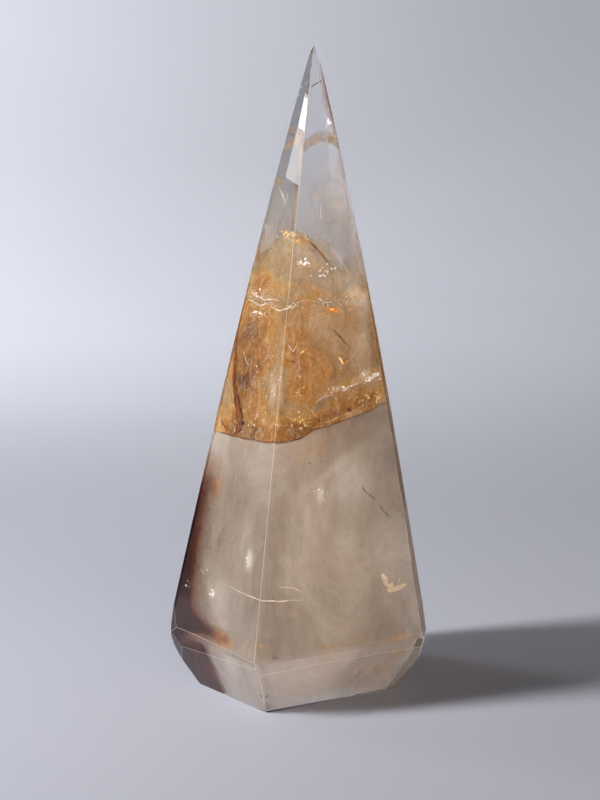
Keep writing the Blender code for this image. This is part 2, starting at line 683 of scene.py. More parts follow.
@dataclass
class QuartzBody:
    """The clear stone: the bowed sides, the cap, and the flats ground round its foot."""

    levels: int = 48
    columns: int = 3
    belts: tuple[Flat, ...] = (
        Flat(219.5, -26.7, 0.01960, 0.0),
        Flat(298.1, -26.4, 0.01600, 0.0),
        Flat(29.6, -26.0, 0.01640, 0.0),
        Flat(128.0, -26.0, 0.01250, 0.0),
    )
    corner_flats: tuple[Flat, ...] = (
        Flat(218.1, -10.0, 0.02575, 0.0140),
        Flat(207.0, 5.5, 0.02757, 0.0194),
        Flat(210.0, -20.9, 0.02727, 0.0121),
        Flat(344.0, -14.0, 0.03040, 0.0139),
        Flat(76.0, -12.0, 0.03100, 0.0110),
    )
    edge_rounding: float = 0.00025
    sharp_angle: float = 5.0
    facet_angle: float = 6.0
    finish: ClearQuartzFinish = field(default_factory=ClearQuartzFinish)
    edge_finish: EdgeFinish = field(default_factory=EdgeFinish)

    def grow_sides(self, stone: bmesh.types.BMesh) -> None:
        """Skins the section upwards in bands, and closes it with the base and the blunter cap.

        Args:
            stone: the faces being worked.
        """
        rings = []
        turns = np.arange(4 * self.columns) / self.columns
        for level in range(self.levels + 1):
            height = FORM.cap_foot * level / self.levels
            points = FORM.place(turns, height, 1.0)
            rings.append([stone.verts.new(point) for point in points])
        skin_rings(stone, rings)
        stone.faces.new(list(reversed(rings[0])))
        foot = FORM.axis(np.array(FORM.cap_foot))
        tip = stone.verts.new((foot[0], foot[1], foot[2] + FORM.cap_height))
        for k in range(len(turns)):
            stone.faces.new((rings[-1][k], rings[-1][(k + 1) % len(turns)], tip))

    def grind(self, stone: bmesh.types.BMesh, flat: Flat) -> None:
        """Grinds away what lies outside a flat, and leaves the flat closed.

        Args:
            stone: the faces being worked.
            flat: the flat.
        """
        cut = bmesh.ops.bisect_plane(
            stone,
            geom=stone.verts[:] + stone.edges[:] + stone.faces[:],
            dist=1e-7,
            plane_co=flat.point(),
            plane_no=flat.facing(),
            clear_outer=True,
        )
        rim = [item for item in cut["geom_cut"] if isinstance(item, bmesh.types.BMEdge)]
        if rim:
            bmesh.ops.contextual_create(stone, geom=rim)

    def round_edges(self, stone: bmesh.types.BMesh) -> None:
        """Takes a hair off every edge between two flats.

        Args:
            stone: the faces being worked.
        """
        limit = math.radians(self.sharp_angle)
        top = FORM.cap_foot - self.edge_rounding
        edges = [
            edge
            for edge in stone.edges
            if edge.calc_face_angle(0) > limit and max(vert.co.z for vert in edge.verts) < top
        ]
        bmesh.ops.bevel(
            stone,
            geom=edges,
            offset=self.edge_rounding,
            segments=2,
            profile=0.5,
            affect="EDGES",
            clamp_overlap=True,
            material=1,
        )

    def keep_in_box(self, stone: bmesh.types.BMesh) -> None:
        """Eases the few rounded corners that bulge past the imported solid's box back to it.

        Args:
            stone: the faces being worked.
        """
        low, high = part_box(SOLID)
        for vert in stone.verts:
            vert.co = [min(max(vert.co[k], low[k]), high[k]) for k in range(3)]

    def build(self) -> bpy.types.Object:
        """Grows, grinds, rounds and polishes the stone.

        Returns:
            The clear stone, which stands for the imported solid.
        """
        stone = bmesh.new()
        self.grow_sides(stone)
        for flat in self.belts + self.corner_flats:
            self.grind(stone, flat)
        bmesh.ops.recalc_face_normals(stone, faces=stone.faces)
        self.round_edges(stone)
        self.keep_in_box(stone)
        mesh = mesh_of(stone, "clear_stone")
        mesh.shade_smooth()
        mesh.set_sharp_from_angle(angle=math.radians(self.facet_angle))
        piece = new_piece(mesh, self.finish.material())
        mesh.materials.append(self.edge_finish.material())
        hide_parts(SOLID)
        return piece


def skin_rings(work: bmesh.types.BMesh, rings: list[list[bmesh.types.BMVert]]) -> None:
    """Closes the bands between rings of points.

    Args:
        work: the faces being worked.
        rings: closed rings of equal count, from the first to the last.
    """
    for lower, upper in zip(rings, rings[1:]):
        for k in range(len(lower)):
            after = (k + 1) % len(lower)
            work.faces.new((lower[k], lower[after], upper[after], upper[k]))


@dataclass(frozen=True)
class Patch:
    """A stained place in a sheet: where it is, its reach, and how strong and crisp it is."""

    around: float
    height: float
    reach: float
    tall: float
    strength: float = 1.0
    tilt: float = 0.0
    crisp: float = 1.0

    def weight(self, around: np.ndarray, height: np.ndarray) -> np.ndarray:
        """How strongly each place is stained.

        Args:
            around: how far round each place is.
            height: the height of each place, in metres.

        Returns:
            The stain at each place.
        """
        turn = (around - self.around + 2) % 4 - 2
        across = turn * FORM.side_width(self.around, self.height * MM) / MM
        up = height / MM - self.height
        lean = math.radians(self.tilt)
        along = (across * math.cos(lean) + up * math.sin(lean)) / self.reach
        over = (up * math.cos(lean) - across * math.sin(lean)) / self.tall
        return self.strength * np.exp(-((along**2 + over**2) ** self.crisp))


ALL_ROUND = 200.0  # a patch that reaches this far is even over the whole stone
ALL_TALL = 10000.0  # and one that is this tall is even from foot to tip


def patches(*rows: tuple[float, ...], even: float = 0.0) -> tuple[Patch, ...]:
    """The stained places of a sheet.

    Args:
        rows: the values of each patch, in the order of its fields.
        even: a stain that is the same everywhere.

    Returns:
        The patches.
    """
    base = [Patch(1.0, 75.0, ALL_ROUND, ALL_TALL, even)] if even else []
    return (*base, *(Patch(*row) for row in rows))


@dataclass
class StainedSheet:
    """A fracture sheet that follows the sides at some depth, from a lower to an upper edge."""

    name: str
    share: float
    lower: Rim
    upper: Rim
    finish: StainFinish
    iron: tuple[Patch, ...] = ()
    milk: tuple[Patch, ...] = ()
    dark: tuple[Patch, ...] = ()
    waves: float = 0.0
    wave_scale: float = 90.0
    start: float = 0.0
    end: float = 4.0
    columns: int = 240
    rows: int = 120
    seed: float = 0.0

    @staticmethod
    def edge(points: Rim, around: np.ndarray) -> np.ndarray:
        """The height of an edge, in metres, at each place round the stone."""
        turns, heights = (np.array(column) for column in zip(*points))
        return np.interp(around, turns, heights * MM, period=4.0)

    @staticmethod
    def stain(places: tuple[Patch, ...], around: np.ndarray, height: np.ndarray) -> np.ndarray:
        """The stain that patches leave together.

        Args:
            places: the patches.
            around: how far round each place is.
            height: the height of each place, in metres.

        Returns:
            The stain at each place, between 0 and 1.2.
        """
        total = np.zeros(around.shape)
        for patch in places:
            total = total + patch.weight(around, height)
        return np.clip(total, 0, 1.2)

    def build(self) -> bpy.types.Object:
        """Lays the sheet's mesh, marks its stains, and dresses it.

        Returns:
            The sheet.
        """
        whole = self.end - self.start > 3.999
        turns = np.linspace(self.start, self.end, self.columns, endpoint=not whole)
        around, step = np.meshgrid(turns, np.linspace(0, 1, self.rows))
        low, high = self.edge(self.lower, around), self.edge(self.upper, around)
        height = low + (high - low) * step
        flat = FORM.inside(around, height, self.share).reshape(-1, 3)
        shift = Vector((self.seed, -self.seed, self.seed))
        wave = [
            noise.fractal(Vector(point) * self.wave_scale + shift, 0.8, 2.1, 4) for point in flat
        ]
        share = self.share + self.waves * np.array(wave).reshape(around.shape)
        points = FORM.inside(around, height, np.clip(share, 0.02, 0.985)).reshape(-1, 3)
        faces = []
        for row in range(self.rows - 1):
            base = row * self.columns
            above = base + self.columns
            for column in range(self.columns if whole else self.columns - 1):
                after = (column + 1) % self.columns
                faces.append((base + column, base + after, above + after, above + column))
        mesh = bpy.data.meshes.new(self.name)
        mesh.from_pydata(points.tolist(), [], faces)
        stains = {Stain.IRON: self.iron, Stain.MILK: self.milk, Stain.DARK: self.dark}
        for which, places in stains.items():
            layer = mesh.attributes.new(which.value, "FLOAT", "POINT")
            stain = self.stain(places, around, height)
            layer.data.foreach_set("value", stain.astype(np.float32).ravel())
        mesh.shade_smooth()
        return new_piece(mesh, self.finish.material())


@dataclass(frozen=True)
class Thread:
    """One fine vein: the places it runs through, its width at each, and how much it wanders."""

    wander: float
    points: tuple[Place, ...]
    share: float = 0.972
    thickness: float = 0.25

    def line(self, seed: float) -> list[tuple[Vector, float]]:
        """The vein's line.

        Args:
            seed: moves the wandering to another pattern.

        Returns:
            Points close together along it, each with the vein's width there, in metres.
        """
        turns, heights, widths = (np.array(column) for column in zip(*self.points))
        steps = np.linspace(0, len(turns) - 1, 10 * (len(turns) - 1) + 1)
        around, height, across = (
            np.interp(steps, np.arange(len(turns)), values)
            for values in (turns, heights * MM, widths * MM)
        )
        line = []
        for place, width in zip(FORM.inside(around, height, self.share), across):
            spot = Vector(place)
            nudge = noise.noise_vector(spot * 350 + Vector((seed, 0, seed)))
            outward = Vector((spot.x, spot.y, 0)).normalized()
            nudge -= outward * max(0.0, nudge.dot(outward))
            swell = 1 + 0.5 * noise.noise(spot * 900 + Vector((0, seed, 0)))
            line.append((spot + nudge * self.wander * MM, width * swell))
        return line


def threads(*rows: tuple, share: float = 0.972) -> tuple[Thread, ...]:
    """The veins of one mineral.

    Args:
        rows: for each vein, how far it wanders, then its points.
        share: how far out from the axis they lie.

    Returns:
        The veins.
    """
    return tuple(Thread(wander, tuple(points), share) for wander, *points in rows)


@dataclass
class Threads:
    """Fine veins of one mineral, each a flattened tube."""

    name: str
    finish: GrainFinish
    threads: tuple[Thread, ...]
    around: int = 6
    seed: float = 0.0

    def add_thread(self, work: bmesh.types.BMesh, thread: Thread, seed: float) -> None:
        """Skins one vein along its line, and closes both its ends.

        Args:
            work: the faces being worked.
            thread: the vein.
            seed: moves its wandering to another pattern.
        """
        line = thread.line(seed)
        last = len(line) - 1
        rings = []
        for k, (spot, width) in enumerate(line):
            along = line[min(k + 1, last)][0] - line[max(k - 1, 0)][0]
            outward = Vector((spot.x, spot.y, 0)).normalized()
            across = along.cross(outward).normalized()
            out = across.cross(along).normalized()
            taper = min(1.0, 0.15 + 0.3 * min(k, last - k))
            ring = []
            for step in range(self.around):
                turn = 2 * math.pi * step / self.around
                reach = across * math.cos(turn) + out * math.sin(turn) * thread.thickness
                ring.append(work.verts.new(spot + reach * width * taper / 2))
            rings.append(ring)
        skin_rings(work, rings)
        work.faces.new(list(reversed(rings[0])))
        work.faces.new(rings[-1])

    def build(self) -> bpy.types.Object:
        """Makes all the veins of this mineral as one piece.

        Returns:
            The veins.
        """
        work = bmesh.new()
        for k, thread in enumerate(self.threads):
            self.add_thread(work, thread, self.seed + 7.3 * k)
        bmesh.ops.recalc_face_normals(work, faces=work.faces)
        mesh = mesh_of(work, self.name)
        mesh.shade_smooth()
        return new_piece(mesh, self.finish.material())


@dataclass(frozen=True)
class Flake:
    """One thin flake: its place, length and width, how it is turned and how far it is lifted."""

    around: float
    height: float
    length: float
    width: float
    turn: float
    lift: float
    share: float = 0.94


@dataclass(frozen=True)
class Cluster:
    """A cloud of small flakes round one place."""

    around: float
    height: float
    reach: float
    tall: float
    count: int
    size: float
    share: float = 0.93

    def scatter(self, draw: random.Random) -> list[Flake]:
        """The flakes of the cloud.

        Args:
            draw: where the chances come from.

        Returns:
            One flake for each, at its own place, size and turn.
        """
        width = FORM.side_width(self.around, self.height * MM) / MM
        made = []
        for _ in range(self.count):
            around = self.around + draw.gauss(0, 0.5) * self.reach / width
            height = self.height + draw.gauss(0, 0.5) * self.tall
            length = self.size * draw.uniform(0.5, 1.7)
            turn = draw.uniform(0, 180)
            lift = draw.uniform(-40, 40)
            share = self.share + draw.uniform(-0.05, 0.02)
            broad = length * draw.uniform(0.3, 0.9)
            made.append(Flake(around % 4, height, length, broad, turn, lift, share))
        return made


@dataclass
class Flakes:
    """Thin bright flakes of one mineral: single ones and clouds of small ones.

    Each row holds the values of a Flake or a Cluster, in the order of its fields.
    """

    name: str
    finish: GrainFinish
    seed: int
    single: tuple[tuple[float, ...], ...] = ()
    clouds: tuple[tuple[float, ...], ...] = ()
    corners: int = 9

    def add_flake(self, work: bmesh.types.BMesh, flake: Flake, draw: random.Random) -> None:
        """Makes one flake: a thin, slightly domed, ragged plate.

        Args:
            work: the faces being worked.
            flake: the flake.
            draw: where the chances come from.
        """
        spot, beside, above = (
            Vector(FORM.inside(flake.around + over, flake.height * MM + up, flake.share))
            for over, up in ((0, 0), (0.01, 0), (0, 0.5 * MM))
        )
        across = (beside - spot).normalized()
        out = across.cross((above - spot).normalized()).normalized()
        place = Matrix((across, out.cross(across), out)).transposed().to_4x4()
        place.translation = spot
        for angle, axis in ((flake.turn, "Z"), (flake.lift, "Y")):
            place = place @ Matrix.Rotation(math.radians(angle), 4, axis)
        length, width = flake.length * MM, flake.width * MM
        front = work.verts.new(place @ Vector((0, 0, width * 0.10)))
        back = work.verts.new(place @ Vector((0, 0, -width * 0.04)))
        rim = []
        for step in range(self.corners):
            turn = 2 * math.pi * step / self.corners
            ragged = draw.uniform(0.65, 1.1)
            x = math.cos(turn) * length / 2 * ragged
            y = math.sin(turn) * width / 2 * ragged
            rim.append(work.verts.new(place @ Vector((x, y, draw.uniform(-0.05, 0.05) * width))))
        for k in range(self.corners):
            after = (k + 1) % self.corners
            work.faces.new((rim[k], rim[after], front))
            work.faces.new((rim[after], rim[k], back))

    def build(self) -> bpy.types.Object:
        """Makes all the flakes of this mineral as one piece.

        Returns:
            The flakes.
        """
        scatter = random.Random(self.seed)
        draw = random.Random(self.seed + 100)
        flakes = [Flake(*row) for row in self.single]
        for row in self.clouds:
            flakes += Cluster(*row).scatter(scatter)
        work = bmesh.new()
        for flake in flakes:
            self.add_flake(work, flake, draw)
        return new_piece(mesh_of(work, self.name), self.finish.material())


# Edges of the sheets: how far round, and the height there.
GOLD_FLOOR = (
    (0.0, 60.7), (0.08, 60.9), (0.43, 60.7), (0.85, 61.2), (0.97, 61.4), (1.17, 61.7), (1.33, 63.5),
    (1.55, 64.7), (1.74, 65.9), (1.98, 68.2), (2.35, 70.5), (2.7, 69.0), (3.0, 66.5), (3.4, 62.5),
    (3.8, 60.8),
)
GOLD_ROOF = (
    (0.0, 91.2), (0.36, 90.5), (0.7, 91.5), (1.04, 90.8), (1.3, 91.4), (1.51, 90.5), (2.0, 90.8),
    (2.5, 92.5), (3.0, 91.0), (3.5, 92.0),
)
ARC_ROOF = (
    (0.0, 103.0), (0.2, 105.0), (0.54, 107.4), (0.78, 107.0), (1.08, 106.6), (1.4, 103.6),
    (1.54, 101.5), (1.94, 97.2), (2.4, 98.5), (3.0, 103.5), (3.5, 104.5),
)
TIP_VEIN = (
    (0.0, 125.2), (0.2, 126.2), (0.4, 127.3), (0.75, 126.2), (1.07, 125.9), (1.23, 127.4),
    (1.42, 128.5), (1.6, 128.0), (1.8, 127.3), (2.1, 126.2), (3.0, 128.0), (3.5, 126.0),
)


def raised(edge: Rim, rise: float) -> Rim:
    """The same edge, higher by this many millimetres."""
    return tuple((around, height + rise) for around, height in edge)


def level(height: float) -> Rim:
    """An edge at one height all round."""
    return ((0.0, height), (2.0, height))


def haze_sheets() -> list[StainedSheet]:
    """The milky sheets of the lower half, from the deepest to the one just under the sides.

    Returns:
        The sheets.
    """
    haze = StainFinish(
        "milky_haze",
        ((0.46, 0.365, 0.28), (0.62, 0.525, 0.425), (0.77, 0.685, 0.59), (0.96, 0.92, 0.87)),
        curls=0.30, flow=0.45, grain=0.30, mottling=0.26,
    )
    smoke = StainFinish(
        "smoky_rust",
        ((0.60, 0.49, 0.39), (0.72, 0.615, 0.51), (0.82, 0.72, 0.62), (0.95, 0.89, 0.83)),
        mottling=0.15, curls=0.1, grain=0.30, rust_depth=0.26, deep_and_shade_tone=(0.16, 0.07, 0.04),
    )
    foot = StainFinish(
        "foot_milk",
        ((0.75, 0.66, 0.61), (0.84, 0.77, 0.73), (0.91, 0.85, 0.82), (0.97, 0.94, 0.92)),
        milk_scale=45.0, curls=0.15,
    )
    return [
        StainedSheet(
            "deep_haze", 0.55, level(4.0), raised(GOLD_FLOOR, 4.0), haze,
            milk=patches(even=1.0), waves=0.10, columns=120, rows=80, seed=3.0,
        ),
        StainedSheet(
            "middle_haze", 0.80, level(3.0), raised(GOLD_FLOOR, -1.0), haze,
            milk=patches(even=0.75), waves=0.05, columns=160, rows=100, seed=7.0,
        ),
        StainedSheet(
            "outer_haze_and_painted_light", 0.955, level(13.0), raised(GOLD_FLOOR, -0.2), haze,
            milk=patches(
                # The broad weak patch at 1.6 round and 40 mm thickens the milk over the right side,
                # partly as painted light that lifts the side the lamps leave darker.
                (1.6, 40.0, 20.0, 40.0, 0.15), (1.6, 51.0, 6.0, 5.0, 0.5, 35),
                (1.48, 54.5, 9.0, 1.2, 0.3, 30), (1.55, 38.0, 4.0, 8.0, 0.3),
                # The strong small patches at 0.82 round, 35.2 mm and at 0.42 round, 25 mm are
                # painted glints: soft white glows in the haze.
                (0.8, 38.0, 2.0, 9.0, 0.2, 8), (0.82, 35.2, 1.1, 2.0, 0.7),
                (0.42, 25.0, 0.6, 0.8, 0.7), (1.37, 49.0, 1.0, 2.2, 0.55),
                (0.45, 26.0, 4.0, 4.0, 0.25), even=0.52,
            ),
            iron=patches(
                (1.3, 58.5, 8.0, 3.5, 0.16), (0.45, 59.0, 7.0, 2.0, 0.13),
                (1.9, 14.0, 6.0, 1.0, 0.42), (1.45, 15.0, 12.0, 0.8, 0.2),
                (1.5, 18.2, 10.0, 0.5, 0.22), (1.01, 17.2, 1.5, 1.2, 0.45),
                (0.95, 15.5, 4.0, 0.7, 0.3),
            ),
            waves=0.008, rows=160, seed=11.0,
        ),
        StainedSheet(
            "left_shadow", 0.968, level(11.0), level(56.0), smoke,
            dark=patches(
                (0.02, 18.5, 5.8, 7.8, 1.2), (0.0, 28.5, 4.2, 10.5, 0.55),
                (0.02, 40.0, 4.2, 11.5, 0.36), (0.12, 48.0, 3.6, 5.6, 0.2),
                (0.24, 17.0, 5.2, 2.4, 0.85, -4), (0.46, 16.6, 5.2, 1.8, 0.48, -4),
                (3.85, 18.0, 8.0, 10.0, 1.2), (3.92, 40.0, 4.0, 12.0, 0.6),
            ),
            iron=patches(
                (0.62, 16.0, 6.0, 1.6, 0.8, -4), (0.4, 18.5, 7.0, 1.4, 0.36, -4),
                (0.18, 48.8, 4.4, 6.4, 0.42),
            ),
            start=-0.60, end=0.90, columns=130, rows=130, waves=0.003, seed=13.0,
        ),
        StainedSheet(
            "belt_haze_and_reflection", 0.93, level(0.6), level(13.6), foot,
            milk=patches(even=0.62),
            iron=patches(
                (1.75, 6.0, 8.0, 5.0, 0.12), (1.9, 10.0, 4.0, 2.0, 0.14),
            ),
            dark=patches(
                # The wide patch at 0.01 round is a painted reflection: the dark band above, seen
                # bent through the left belt.
                (0.01, 6.0, 13.9, 30.0, 0.74, 0, 6.0), (1.0, 4.8, 0.6, 0.3, 0.7),
            ),
            columns=280, rows=40, waves=0.006, seed=19.0,
        ),
    ]


def gold_sheets() -> list[StainedSheet]:
    """The iron-stained sheets of the middle, between the sharp floor and the crinkled roof.

    Returns:
        The sheets.
    """
    gold = StainFinish(
        "gold_stain",
        ((0.54, 0.36, 0.14), (0.70, 0.51, 0.27), (0.82, 0.68, 0.48), (0.98, 0.91, 0.76)),
        milk_scale=95.0, curls=0.45, mottling=0.26, grain=0.75, deep_and_shade_tone=(0.42, 0.20, 0.045),
    )
    tip = StainFinish(
        "tip_stain",
        ((0.60, 0.46, 0.34), (0.70, 0.58, 0.46), (0.80, 0.72, 0.64), (0.95, 0.92, 0.90)),
        mottling=0.16, grain=0.35, curls=0.2, deep_and_shade_tone=(0.36, 0.20, 0.10),
    )
    return [
        StainedSheet(
            "deep_gold", 0.62, GOLD_FLOOR, GOLD_ROOF, gold, iron=patches(even=0.6),
            milk=patches(even=0.9), waves=0.12, columns=140, rows=60, seed=5.0,
        ),
        StainedSheet(
            "gold_sheet", 0.955, GOLD_FLOOR, GOLD_ROOF, gold,
            iron=patches(
                (0.38, 78.0, 15.0, 13.0, 0.58), (0.3, 65.0, 15.0, 6.0, 0.46),
                (0.15, 85.5, 5.5, 5.5, 0.45), (0.32, 74.5, 3.6, 5.0, 0.5),
                (1.24, 86.5, 7.0, 4.5, -0.12), (1.12, 82.0, 3.0, 6.0, 0.35),
                (1.54, 89.7, 2.0, 1.1, 1.0, 0, 2.0), (1.36, 76.5, 8.0, 5.0, 0.32),
                (1.18, 71.5, 3.5, 2.5, 0.35), (0.85, 74.5, 4.5, 5.5, -0.5),
                (1.8, 81.5, 6.2, 6.5, -0.42), (0.03, 70.0, 3.6, 7.0, -0.6),
                (1.05, 69.0, 3.0, 3.0, -0.25), (0.6, 62.2, 12.0, 2.2, 0.7),
                (1.15, 64.0, 6.0, 3.0, 0.75, 8), (1.6, 67.2, 8.0, 2.5, 0.6, 18),
                (1.9, 69.5, 4.0, 2.0, 0.4, 18), (2.5, 78.0, 9.0, 7.0, 0.4),
                (3.4, 72.0, 10.0, 8.0, 0.45), (3.0, 85.0, 7.0, 4.0, 0.3), even=0.3,
            ),
            milk=patches(
                (0.85, 74.5, 4.5, 5.5, 0.22), (1.8, 81.5, 6.2, 6.5, 0.45),
                (1.24, 86.5, 7.0, 4.5, 0.35), (0.03, 70.0, 3.6, 7.0, 0.2),
                (1.85, 74.5, 6.0, 1.2, 0.55, 15), (1.55, 72.2, 6.0, 1.0, 0.5, 15),
                (1.12, 66.5, 2.5, 3.0, 0.45), (1.9, 70.0, 4.0, 3.0, 0.4), even=0.55,
            ),
            dark=patches(
                (3.99, 82.0, 1.4, 4.0, 0.5), (1.64, 67.3, 0.9, 0.6, 0.6),
            ),
            waves=0.012, rows=120, seed=2.0,
        ),
        StainedSheet(
            "arc_sheet", 0.955, GOLD_ROOF, ARC_ROOF, gold,
            iron=patches(
                (1.0, 94.0, ALL_ROUND, 4.0, 0.1), (0.4, 95.5, 8.0, 3.6, 0.76),
                (1.15, 95.0, 5.0, 3.2, 0.36), (1.4, 92.5, 8.0, 1.6, 0.3),
                (1.08, 105.0, 4.0, 1.6, 0.4), (1.35, 103.5, 4.0, 1.2, 0.35, -25),
                (2.6, 96.0, 7.0, 3.0, 0.35), (3.5, 97.0, 7.0, 3.0, 0.35),
            ),
            milk=patches(
                (1.0, 91.5, ALL_ROUND, 8.0, 0.42), (1.2, 99.5, 5.0, 2.5, 0.3),
                (1.85, 93.0, 5.0, 2.0, 0.6), (0.35, 92.5, 6.0, 1.0, 0.5),
            ),
            waves=0.012, rows=70, seed=9.0,
        ),
        StainedSheet(
            "deep_arc", 0.60, GOLD_ROOF, ARC_ROOF, gold, iron=patches(even=0.15),
            milk=patches(even=0.6), waves=0.10, columns=120, rows=40, seed=15.0,
        ),
        StainedSheet(
            "tip_vein", 0.955, raised(TIP_VEIN, -1.2), raised(TIP_VEIN, 1.2), tip,
            iron=patches(
                (1.0, 127.2, ALL_ROUND, 3.0, 0.34),
            ),
            dark=patches(
                (1.0, 127.2, ALL_ROUND, 2.6, 0.13),
            ),
            waves=0.01, columns=160, rows=20, seed=6.0,
        ),
        StainedSheet(
            "tip_edge_and_reflection", 0.962, level(113.0), level(144.0), tip,
            # The iron and dark along the right ridge, at 2.0 round from 124 to 137.5 mm, paint the
            # brown strip there: a painted reflection of the stone's inside, thrown back by the back
            # faces.
            iron=patches(
                (1.99, 137.5, 1.4, 8.0, 0.4, 0, 2.0), (2.0, 124.0, 1.1, 7.0, 0.3),
                (0.14, 118.0, 0.9, 1.2, 0.8),
            ),
            dark=patches(
                (1.99, 137.5, 1.4, 8.0, 0.34, 0, 2.0), (2.0, 124.0, 1.1, 7.0, 0.24),
            ),
            milk=patches(
                (1.92, 120.5, 1.0, 1.2, 0.6),
            ),
            waves=0.004, columns=200, rows=120, start=-0.20, end=2.35, seed=27.0,
        ),
    ]


def upper_sheets() -> list[StainedSheet]:
    """The faint veil of the upper part, which thins out towards the clear tip.

    Returns:
        The sheets.
    """
    veil = StainFinish(
        "faint_veil",
        ((0.46, 0.38, 0.31), (0.58, 0.50, 0.42), (0.70, 0.63, 0.56), (0.86, 0.82, 0.78)),
        milk_scale=70.0, mottling=0.14, grain=0.30,
    )
    return [
        StainedSheet(
            "upper_veil", 0.90, raised(ARC_ROOF, -2.0), TIP_VEIN, veil,
            milk=patches(
                (1.0, 100.0, ALL_ROUND, 15.0, 0.5), (1.75, 112.0, 5.0, 9.0, 0.5),
                (1.3, 116.0, 2.0, 3.0, 0.25),
            ),
            iron=patches(
                (1.45, 116.0, 4.0, 2.2, 0.2), (1.7, 111.0, 5.0, 4.0, 0.14),
            ),
            dark=patches(
                (1.62, 109.2, 1.6, 0.5, 0.22, 12),
            ),
            waves=0.03, columns=160, rows=70, seed=4.0,
        ),
    ]


# The minerals: light colour, deep colour, and where they differ, roughness and glint, a glow that
# paints the glints.
RUST = GrainFinish("rust_vein", (0.25, 0.080, 0.014), (0.085, 0.020, 0.005))
PEARL = GrainFinish("pearl_crack", (0.93, 0.87, 0.80), (0.62, 0.48, 0.34), 0.25, glint=0.08)
GOLD_THREAD = GrainFinish("gold_thread", (0.86, 0.64, 0.28), (0.34, 0.20, 0.05), 0.3, glint=0.05)
GREEN = GrainFinish("green_thread", (0.30, 0.30, 0.22), (0.12, 0.13, 0.09))
CREAM = GrainFinish("cream_flake", (0.80, 0.68, 0.49), (0.60, 0.48, 0.34), 0.3, glint=0.02)
FIRE = GrainFinish("fire_flake", (1.0, 0.52, 0.12), (0.85, 0.28, 0.03), 0.25, glint=0.25)
GOLD_FLAKE = GrainFinish("gold_flake", (1.0, 0.84, 0.48), (0.88, 0.56, 0.18), 0.25, glint=0.30)
PEARL_FLAKE = GrainFinish("pearl_flake", (0.98, 0.98, 1.0), (0.86, 0.84, 0.86), 0.2, glint=0.40)

# The veins: how far each wanders, then how far round, the height and the width at each point.
RUST_VEINS = threads(
    (
        0.3, (0.0, 83.0, 0.9), (0.05, 79.0, 1.5), (0.1, 75.5, 1.5), (0.16, 72.2, 1.7),
        (0.25, 69.5, 1.8), (0.34, 66.5, 2.3), (0.4, 64.0, 2.0), (0.36, 61.2, 1.4),
    ),
    (0.3, (0.34, 66.5, 0.6), (0.42, 65.0, 0.7), (0.5, 64.0, 0.4)),
    (0.3, (0.05, 64.0, 0.3), (0.1, 63.2, 0.5), (0.2, 62.0, 0.3)),
    (0.6, (0.55, 79.0, 0.2), (0.62, 76.0, 0.3), (0.6, 73.0, 0.2)),
    (0.6, (1.5, 86.0, 0.2), (1.62, 83.5, 0.4), (1.68, 81.5, 0.2)),
    (0.3, (1.2, 105.8, 0.2), (1.34, 104.0, 0.5), (1.46, 101.5, 0.4), (1.52, 100.0, 0.2)),
    (0.3, *((around, height + 0.1, 0.2) for around, height in GOLD_FLOOR[1:10])),
)
PEARL_CRACKS = threads(
    (0.7, (1.98, 75.2, 0.3), (1.9, 74.2, 0.6), (1.8, 73.8, 0.4)),
    (0.7, (1.78, 73.4, 0.4), (1.68, 72.6, 0.5), (1.56, 71.6, 0.3)),
    (0.7, (1.52, 71.3, 0.2), (1.4, 70.6, 0.3), (1.3, 69.5, 0.2)),
    (0.6, (0.05, 91.4, 0.2), (0.36, 90.5, 0.3), (0.6, 91.2, 0.2)),
    (0.6, (0.15, 92.6, 0.2), (0.45, 92.1, 0.3), (0.8, 92.4, 0.2)),
    (0.3, (0.6, 90.6, 0.2), (0.85, 90.0, 0.3), (1.0, 90.6, 0.3), (1.04, 91.6, 0.3)),
    (0.3, (1.0, 91.4, 0.2), (1.05, 90.5, 0.3), (1.09, 91.3, 0.3), (1.03, 91.9, 0.2)),
    (0.6, (1.1, 91.7, 0.2), (1.3, 92.6, 0.2), (1.55, 91.5, 0.3)),
    (0.7, (1.55, 90.2, 0.2), (1.66, 89.3, 0.3), (1.8, 90.0, 0.4)),
    (0.7, (1.82, 90.5, 0.3), (1.9, 91.5, 0.4), (1.98, 90.5, 0.2)),
    (0.3, (0.18, 88.6, 0.2), (0.3, 89.2, 0.4), (0.42, 89.0, 0.3), (0.6, 88.0, 0.2)),
    (
        0.3, (0.59, 28.1, 0.1), (0.78, 27.6, 0.2), (0.98, 27.4, 0.3), (1.12, 26.7, 0.3),
        (1.27, 26.3, 0.1),
    ),
    (0.6, (1.1, 30.0, 0.2), (1.2, 29.0, 0.3), (1.26, 27.4, 0.2)),
    (0.5, (1.38, 51.5, 0.2), (1.37, 49.0, 0.4), (1.41, 47.0, 0.2)),
    (0.5, (1.42, 50.5, 0.2), (1.43, 48.0, 0.3)),
    (0.6, (1.04, 83.0, 0.2), (1.1, 81.5, 0.3), (1.15, 83.5, 0.2)),
    (0.4, (1.16, 79.0, 0.1), (1.17, 77.6, 0.2), (1.14, 76.6, 0.1)),
    (0.4, (1.2, 73.5, 0.1), (1.16, 72.2, 0.2), (1.21, 71.2, 0.1)),
    (0.1, (0.2, 116.8, 0.1), (0.45, 115.0, 0.3), (0.566, 113.0, 0.1)),
    (0.1, (0.62, 116.0, 0.1), (0.585, 114.5, 0.2), (0.566, 113.0, 0.1)),
    (0.7, (0.18, 80.0, 0.2), (0.28, 78.5, 0.3), (0.4, 76.5, 0.2)),
    (0.3, (1.44, 113.5, 0.1), (1.42, 111.5, 0.2), (1.43, 109.5, 0.1)),
    (0.3, (1.55, 104.0, 0.1), (1.68, 101.0, 0.2), (1.8, 97.5, 0.1)),
)
